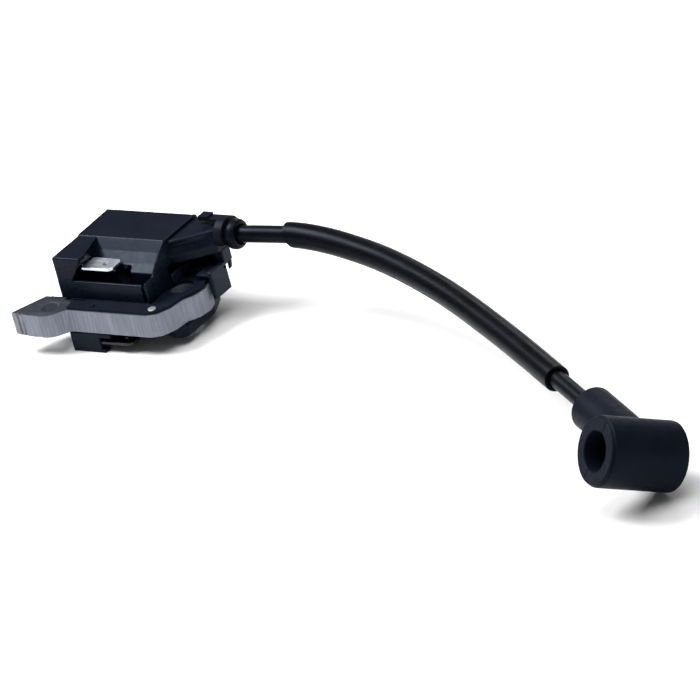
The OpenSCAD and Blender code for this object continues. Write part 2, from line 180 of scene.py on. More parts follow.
def inset(outline, depth):
    """The outline moved by depth to the left of the way it runs."""
    out = []
    for i, p in enumerate(outline):
        a = (p - outline[i - 1]).normalized()
        b = (outline[(i + 1) % len(outline)] - p).normalized()
        na, nb = Vector((-a.y, a.x)), Vector((-b.y, b.x))
        out.append(p + (na + nb) * (depth / max(1 + na.dot(nb), 0.4)))
    return out


def area(outline):
    return sum(p.x * q.y - q.x * p.y for p, q in zip(outline, outline[1:] + outline[:1])) / 2


def place(axis, p, t):
    return {"x": (t, p.x, p.y), "y": (p.x, t, p.y), "z": (p.x, p.y, t)}[axis]


def prism(axis, corners, lo, hi, r=0.25, steps=3):
    """An outline pulled along an axis, with both of its ends rounded.

    No rounded corner is tighter than the ends, so that the inset outline stays simple.
    """
    outline = fillet([(*c[:2], max(c[2], 1.3 * r)) if len(c) > 2 else c for c in corners])
    if area(outline) < 0:
        outline.reverse()
    arc = [math.pi / 2 * k / steps for k in range(steps + 1)]
    ends = [(r * (1 - math.sin(a)), r * (1 - math.cos(a))) for a in arc] if r else [(0, 0)]
    rings = [[place(axis, p, lo + back) for p in inset(outline, d)] for d, back in ends]
    rings += [[place(axis, p, hi - back) for p in inset(outline, d)] for d, back in reversed(ends)]
    return skin("prism", rings)


def slab(lo, hi, r=0.25, round_r=None):
    """A box from corner to corner with all its edges rounded."""
    k = r if round_r is None else round_r
    corners = [(lo[0], lo[1], k), (hi[0], lo[1], k), (hi[0], hi[1], k), (lo[0], hi[1], k)]
    return prism("z", corners, lo[2], hi[2], r)


def turned(matrix, profile, sides=64, wrap=False):
    """A body turned about the matrix's X axis from (distance, radius) points."""
    turns = [2 * math.pi * k / sides for k in range(sides)]
    rings = [[matrix @ Vector((x, r * math.cos(a), r * math.sin(a))) for a in turns] for x, r in profile]
    return skin("turned", rings, wrap)


def turned_y(x, z, profile, sides):
    """A body turned about a line along Y."""
    return turned(Matrix.Translation((x, 0, z)) @ Matrix.Rotation(math.radians(90), 4, "Z"), profile, sides)


def rod(x0, x1, y, z, r, sides=48):
    return turned(Matrix.Translation((0, y, z)), [(x0, r), (x1, r)], sides)


def pin(x, y, z0, z1, r, sides=48):
    """An upright round pin."""
    up = Matrix.Translation((x, y, 0)) @ Matrix.Rotation(math.radians(-90), 4, "Y")
    return turned(up, [(z0, r), (z1, r)], sides)


def weld(bm):
    bmesh.ops.remove_doubles(bm, verts=bm.verts, dist=WELD)
    bmesh.ops.dissolve_degenerate(bm, edges=bm.edges, dist=WELD)


def combine(base, others, operation="UNION"):
    """The base with the others added, cut away or intersected. It has to come out closed."""
    for other in others:
        mod = base.modifiers.new(operation, "BOOLEAN")
        mod.operation = operation
        mod.solver = "EXACT"
        mod.object = other
    bpy.context.view_layer.update()
    mesh = bpy.data.meshes.new_from_object(base.evaluated_get(bpy.context.evaluated_depsgraph_get()))
    base.modifiers.clear()
    base.data = mesh
    bm = bmesh.new()
    bm.from_mesh(mesh)
    weld(bm)
    closed = bm.faces and all(len(e.link_faces) == 2 for e in bm.edges)
    bm.to_mesh(mesh)
    bm.free()
    if not closed:
        raise RuntimeError(f"{operation} on {base.name} left no closed mesh")
    for other in others:
        bpy.data.objects.remove(other)
    return base


def softened(node, width):
    """A copy of a CAD node with its sharp edges eased."""
    bm = bmesh.new()
    bm.from_mesh(nodes[node].data)
    bmesh.ops.scale(bm, vec=(1 / MM, 1 / MM, 1 / MM), verts=bm.verts)
    bmesh.ops.remove_doubles(bm, verts=bm.verts, dist=0.002)
    bmesh.ops.dissolve_limit(bm, angle_limit=math.radians(1), verts=bm.verts, edges=bm.edges)
    sharp = [e for e in bm.edges
             if len(e.link_faces) == 2 and e.calc_face_angle(0) > math.radians(32)]
    bmesh.ops.bevel(bm, geom=sharp, offset=width, offset_type="OFFSET", segments=2,
                    profile=0.5, affect="EDGES", clamp_overlap=True)
    weld(bm)
    mesh = bpy.data.meshes.new(node)
    bm.to_mesh(mesh)
    bm.free()
    obj = bpy.data.objects.new(node, mesh)
    bpy.context.scene.collection.objects.link(obj)
    return obj


# ---- materials ----
class Nodes:
    """A material's node tree, with short calls to add to it."""

    def __init__(self, name):
        self.material = bpy.data.materials.new(name)
        self.material.use_nodes = True
        self.tree = self.material.node_tree
        self.shader = self.tree.nodes["Principled BSDF"]
        self.where = self.add("ShaderNodeTexCoord").outputs["Object"]

    def add(self, kind, **settings):
        node = self.tree.nodes.new(kind)
        for key, value in settings.items():
            setattr(node, key, value)
        return node

    def link(self, a, b):
        self.tree.links.new(a, b)

    def noise(self, per_mm, stretch=(1, 1, 1), detail=4.0, roughness=0.55):
        """Noise with features about 1/per_mm millimetres across."""
        scale = self.add("ShaderNodeMapping")
        scale.inputs["Scale"].default_value = [per_mm * s / MM for s in stretch]
        self.link(self.where, scale.inputs["Vector"])
        noise = self.add("ShaderNodeTexNoise")
        noise.inputs["Scale"].default_value = 1.0
        noise.inputs["Detail"].default_value = detail
        noise.inputs["Roughness"].default_value = roughness
        self.link(scale.outputs[0], noise.inputs["Vector"])
        return noise.outputs[0]

    def waves(self, per_mm, axis):
        """Bands across an axis, about per_mm of them to the millimetre."""
        scale = self.add("ShaderNodeMapping")
        scale.inputs["Scale"].default_value = [per_mm / MM] * 3
        self.link(self.where, scale.inputs["Vector"])
        wave = self.add("ShaderNodeTexWave", wave_type="BANDS", bands_direction=axis)
        wave.inputs["Scale"].default_value = 1 / math.pi
        wave.inputs["Distortion"].default_value = 0.3
        self.link(scale.outputs[0], wave.inputs["Vector"])
        return wave.outputs["Fac"]

    def ramp(self, value, stops):
        ramp = self.add("ShaderNodeValToRGB")
        ramp.color_ramp.elements[0].position = stops[0][0]
        ramp.color_ramp.elements[0].color = (*stops[0][1], 1)
        ramp.color_ramp.elements[1].position = stops[-1][0]
        ramp.color_ramp.elements[1].color = (*stops[-1][1], 1)
        for position, colour in stops[1:-1]:
            ramp.color_ramp.elements.new(position).color = (*colour, 1)
        self.link(value, ramp.inputs[0])
        return ramp.outputs[0]

    def spread(self, value, lo, hi, a=0.3, b=0.7):
        node = self.add("ShaderNodeMapRange")
        for socket, number in zip(("From Min", "From Max", "To Min", "To Max"), (a, b, lo, hi)):
            node.inputs[socket].default_value = number
        self.link(value, node.inputs["Value"])
        return node.outputs[0]

    def math(self, operation, a, b):
        node = self.add("ShaderNodeMath", operation=operation)
        for socket, value in zip(node.inputs, (a, b)):
            if isinstance(value, (int, float)):
                socket.default_value = value
            else:
                self.link(value, socket)
        return node.outputs[0]

    def mix(self, factor, a, b):
        node = self.add("ShaderNodeMix", data_type="RGBA")
        self.link(factor, node.inputs["Factor"])
        self.link(a, node.inputs[6])
        self.link(b, node.inputs[7])
        return node.outputs[2]

    def bump(self, height, depth_mm, strength=1.0, below=None):
        node = self.add("ShaderNodeBump")
        node.inputs["Distance"].default_value = depth_mm * MM
        node.inputs["Strength"].default_value = strength
        self.link(height, node.inputs["Height"])
        if below:
            self.link(below, node.inputs["Normal"])
        return node.outputs[0]

    def surface(self, colour, roughness, normal, **values):
        self.link(colour, self.shader.inputs["Base Color"])
        self.link(roughness, self.shader.inputs["Roughness"])
        self.link(normal, self.shader.inputs["Normal"])
        for name, value in values.items():
            self.shader.inputs[name.replace("_", " ")].default_value = value
        return self.material


def moulded(name, dark, light, rough, grain, depth, patch=0.12, stretch=(1, 1, 1), **values):
    """A moulded or coated surface: slow mottling in colour and gloss, with a fine grain."""
    n = Nodes(name)
    slow = n.noise(patch, stretch)
    colour = n.ramp(slow, [(0.3, dark), (0.7, light)])
    smear = n.noise(patch * 5, stretch, detail=6)
    roughness = n.spread(smear, *rough)
    fine = n.noise(grain, stretch, detail=2)
    normal = n.bump(fine, depth, below=n.bump(smear, depth * 1.5, 0.5))
    return n.surface(colour, roughness, normal, **values)


def blue_black(name, dark, light, rough, grain, depth, patch=0.12, ior=1.16):
    """A blue-black moulding with little shine."""
    return moulded(name, dark, light, rough, grain, depth, patch,
                   IOR=ior, Specular_Tint=(0.6, 0.75, 1.0, 1.0))


def metal(name, dark, light, rough, grain, depth, stretch=(1, 1, 1)):
    return moulded(name, dark, light, rough, grain, depth, 0.3, stretch, Metallic=1.0)


def sheared_steel():
    """Pressed core sheets: a dull oxide on the flat faces, and bright shear streaks on the edges."""
    n = Nodes("core_steel")
    face = n.add("ShaderNodeSeparateXYZ")
    n.link(n.add("ShaderNodeNewGeometry").outputs["Normal"], face.inputs[0])
    flat = n.spread(n.math("ABSOLUTE", face.outputs["Z"], 0), 0.0, 1.0, 0.75, 0.95)
    streak = n.noise(2.2, (1, 1, 0.05), detail=5, roughness=0.65)
    drag = n.noise(0.35, (1, 1, 0.25), detail=3)
    bright = n.ramp(streak, [(0.3, (0.145, 0.160, 0.205)), (0.5, (0.19, 0.21, 0.255)),
                             (0.75, (0.25, 0.27, 0.315))])
    dull = n.ramp(streak, [(0.3, (0.13, 0.145, 0.185)), (0.7, (0.20, 0.22, 0.265))])
    edge = n.mix(n.spread(drag, 0.0, 0.6), bright, dull)
    oxide = n.ramp(n.noise(0.6, detail=6),
                   [(0.3, (0.013, 0.017, 0.027)), (0.7, (0.026, 0.032, 0.046))])
    roughness = n.spread(streak, 0.62, 0.40)
    normal = n.bump(streak, 0.05, 0.8, n.bump(n.noise(6), 0.006))
    return n.surface(n.mix(flat, edge, oxide), roughness, normal, Metallic=0.55)


def plated_with_painted_shade():
    """Bright plate, with painted shade below the core: under z = 0 the colour turns near black, standing for
    the core's shadow on the blade.
    """
    n = Nodes("terminal_metal")
    along = (0.15, 1, 1)
    height = n.add("ShaderNodeSeparateXYZ")
    n.link(n.where, height.inputs[0])
    wear = n.noise(0.3, along)
    bright = n.ramp(wear, [(0.3, (0.58, 0.62, 0.69)), (0.7, (0.76, 0.79, 0.84))])
    # near-black colour: painted shade for the part of the blade below the core
    dull = n.ramp(wear, [(0.3, (0.020, 0.021, 0.024)), (0.7, (0.05, 0.052, 0.058))])
    smear = n.noise(1.5, along, detail=6)
    # below z = 0 the blade takes the painted shade colour, above it the bright plate
    colour = n.mix(n.spread(height.outputs["Z"], 0.0, 1.0, -2 * MM, 2 * MM), dull, bright)
    return n.surface(colour, n.spread(smear, 0.34, 0.48), n.bump(n.noise(5, along), 0.006), Metallic=1.0)


def wound_with_painted_shade_and_highlight(name, per_mm, dark, light):
    """Enamelled wire laid side by side along Y, with painted shade in the grooves between turns and a
    painted highlight along each turn's crown.
    """
    n = Nodes(name)
    turns = n.waves(per_mm, "Y")
    # each turn's colour runs from painted shade in the groove to a painted highlight on the crown
    colour = n.mix(n.noise(0.4), n.ramp(turns, [(0.1, dark), (0.6, light)]),
                   n.ramp(turns, [(0.2, dark), (0.9, light)]))
    return n.surface(colour, n.spread(n.noise(1.5), 0.22, 0.4), n.bump(turns, 0.08), Metallic=0.7)


def streaked_sleeve():
    """Extruded sleeve: satin, with fine drawn lines and a little dust in them."""
    n = Nodes("sleeve_rubber")
    along = (0.16, 0.25, 1.4)
    lines = n.noise(1.6, along, detail=5, roughness=0.7)
    colour = n.ramp(lines, [(0.35, (0.0015, 0.0018, 0.0030)), (0.6, (0.0030, 0.0034, 0.0052)),
                            (0.8, (0.0080, 0.0085, 0.0115))])
    scuffs = n.noise(0.5, along, detail=6)
    normal = n.bump(lines, 0.035, 0.7, n.bump(n.noise(9, detail=2), 0.010))
    return n.surface(colour, n.spread(scuffs, 0.24, 0.38), normal,
                     IOR=1.15, Specular_Tint=(0.7, 0.82, 1.0, 1.0))


# Each row: maker, slot, darker and lighter colour, roughness from and to, grain per mm, its depth
# in mm, then any patch size, stretch or index of refraction.
SURFACES = [
    (metal, "weld_steel", (0.10, 0.10, 0.12), (0.22, 0.22, 0.25), (0.4, 0.6), 4, 0.02),
    (blue_black, "housing_plastic", (0.0028, 0.0042, 0.0095), (0.0045, 0.0065, 0.0130),
     (0.24, 0.36), 7, 0.006, 0.12, 1.19),
    (blue_black, "case_plastic", (0.0040, 0.0055, 0.0110), (0.0060, 0.0080, 0.0145),
     (0.36, 0.50), 6, 0.008),
    (blue_black, "bracket_plastic", (0.008, 0.011, 0.020), (0.012, 0.015, 0.026),
     (0.34, 0.46), 6, 0.008, 0.12, 1.22),
    (blue_black, "flange_plastic", (0.0045, 0.0060, 0.0115), (0.0070, 0.0090, 0.0160),
     (0.40, 0.55), 5, 0.010),
    (moulded, "bobbin_plastic", (0.58, 0.54, 0.42), (0.70, 0.66, 0.54), (0.5, 0.65), 5, 0.012),
    (moulded, "potting_resin", (0.05, 0.028, 0.014), (0.09, 0.052, 0.028), (0.14, 0.25), 1.2, 0.03),
    (moulded, "board_laminate", (0.018, 0.11, 0.045), (0.03, 0.16, 0.07), (0.3, 0.42), 5, 0.01),
    (moulded, "capacitor_coat", (0.32, 0.045, 0.02), (0.46, 0.08, 0.04), (0.16, 0.3), 1.5, 0.03),
    (moulded, "component_epoxy", (0.015, 0.015, 0.017), (0.028, 0.028, 0.031), (0.5, 0.66), 8, 0.012),
    (moulded, "resistor_coat", (0.42, 0.31, 0.18), (0.55, 0.43, 0.27), (0.3, 0.45), 4, 0.012),
    (metal, "contact_brass", (0.52, 0.36, 0.12), (0.70, 0.52, 0.22), (0.25, 0.4), 6, 0.006, (0.15, 1, 1)),
    (blue_black, "grommet_rubber", (0.0025, 0.0030, 0.0055), (0.0045, 0.0055, 0.0085),
     (0.26, 0.40), 5, 0.012),
    (blue_black, "clip_plastic", (0.004, 0.005, 0.009), (0.007, 0.008, 0.014), (0.35, 0.50), 6, 0.010),
    (blue_black, "lead_jacket", (0.0015, 0.0018, 0.0030), (0.0028, 0.0032, 0.0050),
     (0.32, 0.42), 3, 0.006, 0.2, 1.18),
    (metal, "conductor_copper", (0.50, 0.19, 0.08), (0.75, 0.35, 0.18), (0.25, 0.4), 4, 0.03),
    (blue_black, "boot_rubber", (0.0032, 0.0047, 0.0095), (0.0052, 0.0070, 0.0130),
     (0.42, 0.56), 6, 0.014, 0.15, 1.15),
    (metal, "spring_steel", (0.42, 0.43, 0.45), (0.62, 0.63, 0.65), (0.28, 0.42), 4, 0.01),
]
MATERIALS = {slot: make(slot, *values) for make, slot, *values in SURFACES}
MATERIALS["core_steel"] = sheared_steel()
MATERIALS["terminal_metal"] = plated_with_painted_shade()
MATERIALS["enamelled_wire"] = wound_with_painted_shade_and_highlight("enamelled_wire", 4.0, (0.16, 0.035, 0.010), (0.62, 0.24, 0.09))
MATERIALS["sleeve_rubber"] = streaked_sleeve()
SLOTS = {row["node"]: row["material_slot"] for row in frame["record"]["subparts"]}


def piece(name, obj, *replaced, angle=32, weighted=True):
    """obj becomes a piece of the visual model, in place of the CAD nodes, with the first one's slot."""
    slot = SLOTS[replaced[0]]
    if obj.type == "MESH":
        obj.data.transform(Matrix.Scale(MM, 4))
        obj.data.shade_smooth()
        obj.data.set_sharp_from_angle(angle=math.radians(angle))
        if weighted:
            obj.modifiers.new("normals", "WEIGHTED_NORMAL").keep_sharp = True
    obj.name = name
    obj.data.name = name
    obj.data.materials.clear()
    obj.data.materials.append(MATERIALS[slot])
    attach(obj, "root")
    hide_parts(*replaced)
    return obj


# ---- the lead, with its sleeve ----
def make_lead():
    points = [Vector(p) for p in ROUTE]
    data = bpy.data.curves.new("ht_lead", "CURVE")
    data.dimensions = "3D"
    data.resolution_u = 6
    data.bevel_depth = LEAD_R * MM
    data.bevel_resolution = 7
    data.use_fill_caps = True
    spline = data.splines.new("BEZIER")
    spline.bezier_points.add(len(points) - 1)
    for i, (knot, p) in enumerate(zip(spline.bezier_points, points)):
        reach = pull(points, i) / 3
        knot.co = p * MM
        knot.handle_left = (p - reach) * MM
        knot.handle_right = (p + reach) * MM
    lead = bpy.data.objects.new("ht_lead", data)
    bpy.context.scene.collection.objects.link(lead)
    return piece("ht_lead", lead, "lead_insulation")


def make_sleeve():
    points = [Vector(p) for p in ROUTE]
    line = smooth_path(points)[SLEEVE_FROM * STEPS:SLEEVE_TO * STEPS + 1]
    ahead = (line[-1] - line[-2]).normalized()
    line += [line[-1] + ahead * SLEEVE_TAIL * t for t in (0.5, 1.0)]
    slant = 0.35                 # how far the first cut leans, per radius
    sides = 40

    def ring(i, r):
        along = (line[min(i + 1, len(line) - 1)] - line[max(i - 1, 0)]).normalized()
        side = Vector((0, 0, 1)).cross(along).normalized()
        up = along.cross(side)
        lean = slant * max(0.0, 1 - i / 4)
        out = []
        for k in range(sides):
            a = 2 * math.pi * k / sides
            at = line[i] + r * (math.cos(a) * side + math.sin(a) * up)
            out.append(at - along * lean * r * math.sin(a))
        return out

    last = len(line) - 1
    rings = [ring(0, SLEEVE_R - 0.25), ring(0, SLEEVE_R - 0.06)]
    rings += [ring(i, SLEEVE_R) for i in range(1, last)]
    rings += [ring(last, r) for r in (SLEEVE_R - 0.06, SLEEVE_R - 0.25, SLEEVE_BORE_R + 0.1)]
    rings += [ring(i, SLEEVE_BORE_R) for i in range(last - 1, 0, -1)]
    rings.append(ring(0, SLEEVE_BORE_R + 0.1))
    return piece("abrasion_sleeve", skin("sleeve", rings, wrap=True), "lead_sleeve", angle=40)


# ---- the boot ----
BARREL_R, ELBOW_R, ELBOW_LEN = 9.3, 6.15, 31.8
RIM, BARREL_END, BORE_R, BORE_STEP = 15.2, -7.7, 5.3, 4.1
CHAMBER_R, CHAMBER_END = 4.7, -4.3
ELBOW_MOUTH_R = 3.7


def boot_matrix():
    """The boot's own frame: X runs out of the barrel's bore, -Y out of the elbow."""
    bore = next(m for m in frame["record"]["mounts"] if m["name"] == "plug_bore")
    axis = Vector(bore["axis"]).normalized()
    at = Vector(bore["pos_m"]) / MM - axis * (RIM + BORE_STEP) / 2
    turn = math.degrees(math.atan2(axis.y, axis.x))
    tilt = math.degrees(math.asin(axis.z))
    roll = -4
    return (Matrix.Translation(at) @ Matrix.Rotation(math.radians(turn), 4, "Z")
            @ Matrix.Rotation(math.radians(-tilt), 4, "Y") @ Matrix.Rotation(math.radians(roll), 4, "X"))


def elbow(matrix):
    """The side tube, which flares into the barrel, with a rounded nose."""
    sides, flare, rise = 72, 1.3, 1.7

    def height(r, a):
        return math.sqrt(max(BARREL_R**2 - (r * math.sin(a))**2, 0))

    def ring(r, level=None, above=0.0):
        """A ring at a level along the elbow or, with no level, lying on the barrel."""
        out = []
        for k in range(sides):
            a = 2 * math.pi * k / sides
            reach = height(r, a) + above if level is None else level
            out.append(matrix @ Vector((r * math.cos(a), -reach, r * math.sin(a))))
        return out

    rings = [ring(ELBOW_R - 0.5, 4.0), ring(ELBOW_R + flare, above=-0.6)]
    for k in range(7):
        t = math.pi / 2 * k / 6
        rings.append(ring(ELBOW_R + flare * (1 - math.sin(t)), above=rise * (1 - math.cos(t)) - 0.03))
    rings += [ring(ELBOW_R, level) for level in (13, 20, 27, 30.4)]
    for k in range(1, 8):
        t = math.pi / 2 * k / 7
        rings.append(ring(ELBOW_R - 2.3 * (1 - math.cos(t)), ELBOW_LEN - 2.2 * (1 - math.sin(t))))
    return skin("elbow", rings)


def make_boot():
    matrix = boot_matrix()
    bore = [(CHAMBER_END, CHAMBER_R), (BORE_STEP - 0.1, CHAMBER_R), (BORE_STEP, CHAMBER_R + 0.1),
            (BORE_STEP, BORE_R - 0.1), (BORE_STEP + 0.1, BORE_R), (RIM - 0.5, BORE_R),
            (RIM - 0.15, BORE_R + 0.12)]
    rim = [(RIM, BORE_R + 0.4), (RIM, BARREL_R - 0.75), (RIM - 0.12, BARREL_R - 0.55),
           (RIM - 0.4, BARREL_R - 0.38), (RIM - 0.6, BARREL_R - 0.5), (RIM - 0.8, BARREL_R - 0.36),
           (RIM - 1.0, BARREL_R - 0.08), (RIM - 1.3, BARREL_R)]
    outside = [(RIM - 8, BARREL_R), (BARREL_END + 5, BARREL_R), (BARREL_END + 0.9, BARREL_R),
               (BARREL_END + 0.45, BARREL_R - 0.12), (BARREL_END + 0.12, BARREL_R - 0.45),
               (BARREL_END, BARREL_R - 0.95), (BARREL_END, 4.0)]
    boot = combine(turned(matrix, bore + rim + outside, 96), [elbow(matrix)])
    down_elbow = matrix @ Matrix.Rotation(math.radians(-90), 4, "Z")
    cutters = [turned(down_elbow, [(0.5, LEAD_BORE_R), (ELBOW_LEN - 0.85, LEAD_BORE_R),
                                   (ELBOW_LEN + 0.5, ELBOW_MOUTH_R)], 48)]
    for angle in (79, 259):      # the two split lines across the rim
        groove = slab((RIM - 0.3, BORE_R - 0.4, -0.12), (RIM + 0.5, BARREL_R + 0.4, 0.12), 0)
        groove.data.transform(matrix @ Matrix.Rotation(math.radians(angle), 4, "X"))
        cutters.append(groove)
    return piece("spark_plug_boot", combine(boot, cutters, "DIFFERENCE"), "plug_boot", angle=28)


def make_grommet():
    lo, hi = box_mm("lead_grommet")
    y, z = (lo.y + hi.y) / 2, (lo.z + hi.z) / 2
    bore, spigot, neck, bead = 2.62, 3.1, 3.5, (hi.z - lo.z) / 2
    half = 1.65                  # half the length of the bead
    mid = hi.x - half
    profile = [(lo.x, bore), (lo.x, spigot), (HOOD_END + 0.1, spigot), (HOOD_END + 0.1, neck),
               (mid - half - 0.5, neck), (mid - half - 0.1, neck + 0.1)]
    for k in range(15):
        t = math.pi * (k + 0.6) / 15.2
        profile.append((mid - half * math.cos(t), spigot + (bead - spigot) * math.sin(t) ** 0.6))
    profile += [(hi.x, spigot), (hi.x - 0.3, 2.75), (hi.x - 0.6, bore)]
    grommet = turned(Matrix.Translation((0, y, z)), profile, 64, wrap=True)
    return piece("lead_grommet_bead", grommet, "lead_grommet", angle=40)


# ---- the core ----
def flat_outlines(node, level):
    """The outlines of a CAD node's upward face at this height, with the material on their left."""
    bm = bmesh.new()
    bm.from_mesh(nodes[node].data)
    bmesh.ops.remove_doubles(bm, verts=bm.verts, dist=1e-6)

    def on_top(face):
        return face.normal.z > 0.9 and abs(face.calc_center_median().z / MM - level) < 0.05

    follow = {}
    for face in bm.faces:
        if on_top(face):
            for loop in face.loops:
                if sum(on_top(f) for f in loop.edge.link_faces) == 1:
                    follow[loop.vert.index] = loop.link_loop_next.vert.index
    bm.verts.ensure_lookup_table()
    outlines = []
    while follow:
        at = next(iter(follow))
        outline = []
        while at in follow:
            co = bm.verts[at].co / MM
            outline.append(Vector((co.x, co.y)))
            at = follow.pop(at)
        outlines.append(outline)
    bm.free()
    return outlines


def make_core():
    """The stack of sheets: each sheet's edge stands just proud of the joints between them."""
    lo, hi = box_mm("lamination_core")
    sheets = 14
    sheet = (hi.z - lo.z) / sheets
    joint, ease = 0.035, 0.05
    levels = [(lo.z, 0.16), (lo.z + 0.05, 0.05), (lo.z + 0.16, 0)]
    for i in range(1, sheets):
        z = lo.z + i * sheet
        levels += [(z - ease, 0), (z, joint), (z + ease, 0)]
    levels += [(hi.z - 0.16, 0), (hi.z - 0.05, 0.05), (hi.z, 0.16)]
    verts, faces, bottom, top = [], [], [], []
    for outline in flat_outlines("lamination_core", hi.z):
        n, first = len(outline), len(verts)
        for z, depth in levels:
            verts += [(p.x, p.y, z) for p in inset(outline, depth)]
        for i in range(len(levels) - 1):
            a, b = first + i * n, first + (i + 1) * n
            faces += [(a + k, a + (k + 1) % n, b + (k + 1) % n, b + k) for k in range(n)]
        bottom.append(list(range(first, first + n)))
        top.append(list(range(len(verts) - n, len(verts))))
    for cap in (bottom, top):
        flat = [i for loop in cap for i in loop]
        faces += [tuple(flat[i] for i in tri)
                  for tri in tessellate_polygon([[Vector(verts[i]) for i in loop] for loop in cap])]
    return piece("laminated_core", solid("core", verts, faces), "lamination_core", angle=25, weighted=False)


# ---- the housing ----
WALL = 1.5
HOUSE_END, HOOD_END = 33.2, 44.5
SPIGOT_FROM, SPIGOT_BORE_R = 38, 3.2


def make_housing():
    """The shell: a body with a beaded right end, a taller left end, and the hood over the lead."""
    lo, hi = box_mm("upper_housing")
    y0, y1, z0, x0 = lo.y + 0.2, hi.y, lo.z, lo.x
    top, end = hi.z - 0.2, HOUSE_END
    body = prism("x", [
        (y0, z0), (y0, 13.3, 0.5), (y0 + 1.2, 13.3, 0.45), (y0 + 1.2, 9.6, 0.3), (10.2, 9.6, 0.5),
        (10.2, 14.2, 0.6), (12.8, 15.7, 2), (15.6, 18.1, 2.5), (18.3, top - 0.3, 0.8), (y1, top, 1.1),
        (y1, z0)], x0, end - 0.7, 0.35)
    bead = prism("x", [
        (lo.y, z0), (y0 - 0.1, 13.9, 0.6), (8.6, 14.2, 1.6), (11.5, 17.1, 2), (14.8, 19.9, 2),
        (17.2, hi.z, 1.4), (y1, hi.z, 1.3), (y1, z0)], end - 0.95, end, 0.4, 4)
    left = prism("y", [
        (x0, z0), (x0, top - 0.5, 0.5), (12, top - 0.5, 0.7), (6.9, 13.3, 1.5), (6.9, z0)], y0, 18.6, 0.5, 4)
    plan = prism("z", [(x0 - 1, y0 - 1), (12.3, y0 - 1), (8.2, 18.6), (x0 - 1, 18.7)], z0 - 1, top + 1, 0)
    left = combine(left, [plan], "INTERSECT")
    cutters = [
        slab((end - 2.1, y0 - 1, z0 - 1), (end - 0.85, y0 + 1.35, 13.8), 0),
        slab((end - 2, 15.5, z0 - 1), (end + 1, y1 + 1, 13.6), 0),
        prism("x", [(11.7, z0 - 1), (11.7, 9.2), (13.4, 9.2), (13.4, 13.4), (16.9, 16.9),
                    (19.2, top - WALL), (y1 - 2, top - WALL), (y1 - WALL, top - 2),
                    (y1 - WALL, z0 - 1)], x0 + WALL, end - 3.5, 0),
        prism("x", [(y0 + WALL, z0 - 1), (y0 + WALL, 19), (20, 19), (20, z0 - 1)], x0 + WALL, 5.4, 0),
        turned_y(21.3, 13.6, [(9, 2.8), (12.1, 2.8), (12.4, 2.5)], 48),
        slab((8, 8.0, 16.1), (12, 11.1, 17.1), 0),
    ]
    shell = combine(combine(body, [bead, left]), cutters, "DIFFERENCE")
    boss = turned_y(21.6, 14.7, [(11.0, 0.35), (11.15, 0.55), (13, 0.6)], 24)
    shell = combine(shell, [hood(y1, hi.z), boss])
    bore = turned(Matrix.Translation((0, LEAD_Y, LEAD_Z)),
                  [(end + 1, LEAD_BORE_R), (SPIGOT_FROM, LEAD_BORE_R), (SPIGOT_FROM + 0.05, SPIGOT_BORE_R),
                   (HOOD_END + 1.5, SPIGOT_BORE_R)], 56)
    return piece("housing", combine(shell, [bore], "DIFFERENCE"), "upper_housing", angle=30)


def hood(y1, top):
    """The cover over the lead's exit. Its side is scooped out below a lip, and less so to the right."""
    def section(t, grow):
        side = 17.0 + 8.4 * t ** 1.25
        roof = top - 0.9 + 0.8 * t
        lip = roof - 0.5 * t ** 2
        scoop = 2.6 - 2.1 * t
        outline = fillet([
            (side + 0.4, 13.6, 0.5), (side, 16.4, 1.2), (side + scoop, lip - 1.8, 1.2),
            (side + 1.2, lip - 0.5, 0.35), (side + 2.0, lip, 0.6), (side + 5.5, roof, 2.0),
            (y1, roof, 1.3), (y1, 13.6, 0.5)], 6)
        if area(outline) < 0:
            outline.reverse()
        return inset(outline, -grow)

    x0 = HOUSE_END - 0.3
    stations = [(k / 16 * 0.955, 0.0) for k in range(17)] + [(0.98, -0.02), (1.0, -0.08)]
    rings = [[place("x", p, x0 + (HOOD_END - x0) * t) for p in section(t, grow)] for t, grow in stations]
    return skin("hood", rings)


REAR_HOLE = (36.4, 15.3)
SCREW_ROOM_R = 3.7


def make_case():
    """The tub that hangs below the core, with its foot round the rear screw."""
    lo, hi = box_mm("coil_case")
    x1, y0, y1 = 31.0, 11.2, hi.y
    tub = slab((lo.x, y0, lo.z), (x1, y1, hi.z), 0.35, 1.5)
    foot = prism("z", [
        (x1 - 0.5, 13), (31.6, 10.4, 1), (33.6, 7.0, 3), (38.2, 5.6, 2.5), (hi.x, 6.6, 2.6),
        (hi.x, 20.6, 6), (38.0, 29.3, 1.6), (x1 - 0.5, 29.3)], -3.5, -0.1, 0.4)
    inside = slab((lo.x + WALL, y0 + WALL, lo.z + 1.2), (x1 - WALL, y1 - WALL, hi.z + 1), 0)
    leg = slab((15.4, y0 - 1, -0.1), (24.6, y1 + 1, 7.1), 0)
    screw = pin(*REAR_HOLE, -4.5, 1, SCREW_ROOM_R)
    case = combine(combine(tub, [foot]), [inside, leg, screw], "DIFFERENCE")
    return piece("coil_tub", case, "coil_case", angle=30)


